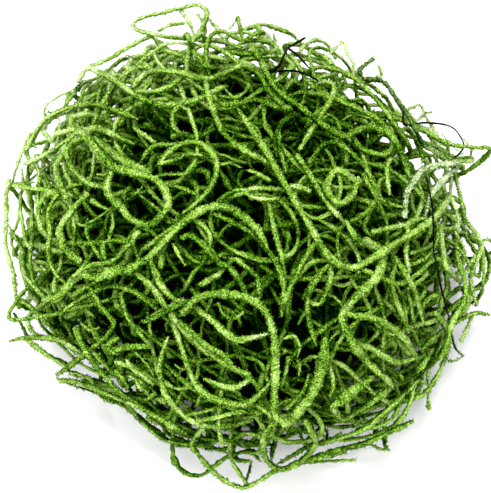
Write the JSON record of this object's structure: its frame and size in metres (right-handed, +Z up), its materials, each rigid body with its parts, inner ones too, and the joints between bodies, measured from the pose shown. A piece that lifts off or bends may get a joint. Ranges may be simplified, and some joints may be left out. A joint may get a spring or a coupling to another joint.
{
  "type": "spanish moss bunch",
  "caption": "Low round bunch of dried spanish moss, dyed bright green: velvety curled and forked stems tangled together, with a few bare dark fibres.",
  "frame": {"origin": "middle of the flat spot on the underside that the bunch rests on", "axes": "+Z up from the surface it rests on, -Y towards the side that it is usually shown from, +X to the right seen from there"},
  "size_m": [0.1102, 0.1087, 0.0611],
  "materials": {
    "moss_green": "velvety green scales, paler at the tips and very dark deep inside the bunch",
    "moss_pale": "velvety scales that have lost most of the green dye",
    "moss_dark": "thin dark green scales",
    "bare_fibre": "smooth black wiry fibre"
  },
  "bodies": {
    "root": {"moss_tangle": "moss_green", "stem_left_rim_outer": "moss_green", "stem_left_rim_inner": "moss_green", "stem_right_rim_upper": "moss_green", "stem_right_rim_tip": "moss_green", "stem_low_left_fork": "moss_green", "stem_bottom_left_rim": "moss_green", "stem_bottom_tail": "moss_green", "stem_bottom_loop": "moss_green", "stem_bottom_right_ring": "moss_green", "stem_bottom_right_bar": "moss_green", "stem_bottom_right_slope": "moss_green", "stem_low_right_thick": "moss_green", "stem_top_flat_loop": "moss_green", "stem_dark_arc": "moss_dark", "stem_upper_arc": "moss_green", "stem_wave_top": "moss_green", "stem_left_arc": "moss_green", "stem_left_outer_curl": "moss_green", "stem_left_inner_arc": "moss_green", "stem_left_vertical": "moss_green", "stem_left_low_zig": "moss_green", "stem_left_low_long": "moss_green", "stem_small_hook_fork": "moss_green", "stem_fan_outer": "moss_green", "stem_fan_middle": "moss_green", "stem_right_vertical": "moss_green", "stem_slim_vertical": "moss_green", "stem_pale": "moss_pale", "stem_blunt_right_fork": "moss_green", "stem_centre_right": "moss_green", "stem_small_ring": "moss_green", "stem_right_arc": "moss_green", "stem_hooked_top": "moss_green", "stem_down_diagonal": "moss_green", "stem_short_bridge": "moss_green", "stem_s_wave": "moss_green", "stem_mid_ring": "moss_green", "stem_left_thick_diagonal": "moss_green", "stem_left_ring": "moss_green", "stem_inverted_v": "moss_green", "stem_fork_centre": "moss_green", "stem_club_wave": "moss_green", "stem_fan_inner": "moss_green", "stem_twin_vertical": "moss_green", "stem_parallel_arc": "moss_green", "stem_hairpin": "moss_green", "stem_rise_right": "moss_green", "stem_small_loop_right": "moss_green", "stem_elbow_fork": "moss_green", "stem_long_diagonal": "moss_green", "stem_steep_diagonal": "moss_green", "stem_great_hook": "moss_green", "fibre_upper": "bare_fibre", "fibre_long": "bare_fibre", "fibre_clot": "bare_fibre"}
  },
  "joints": []
}
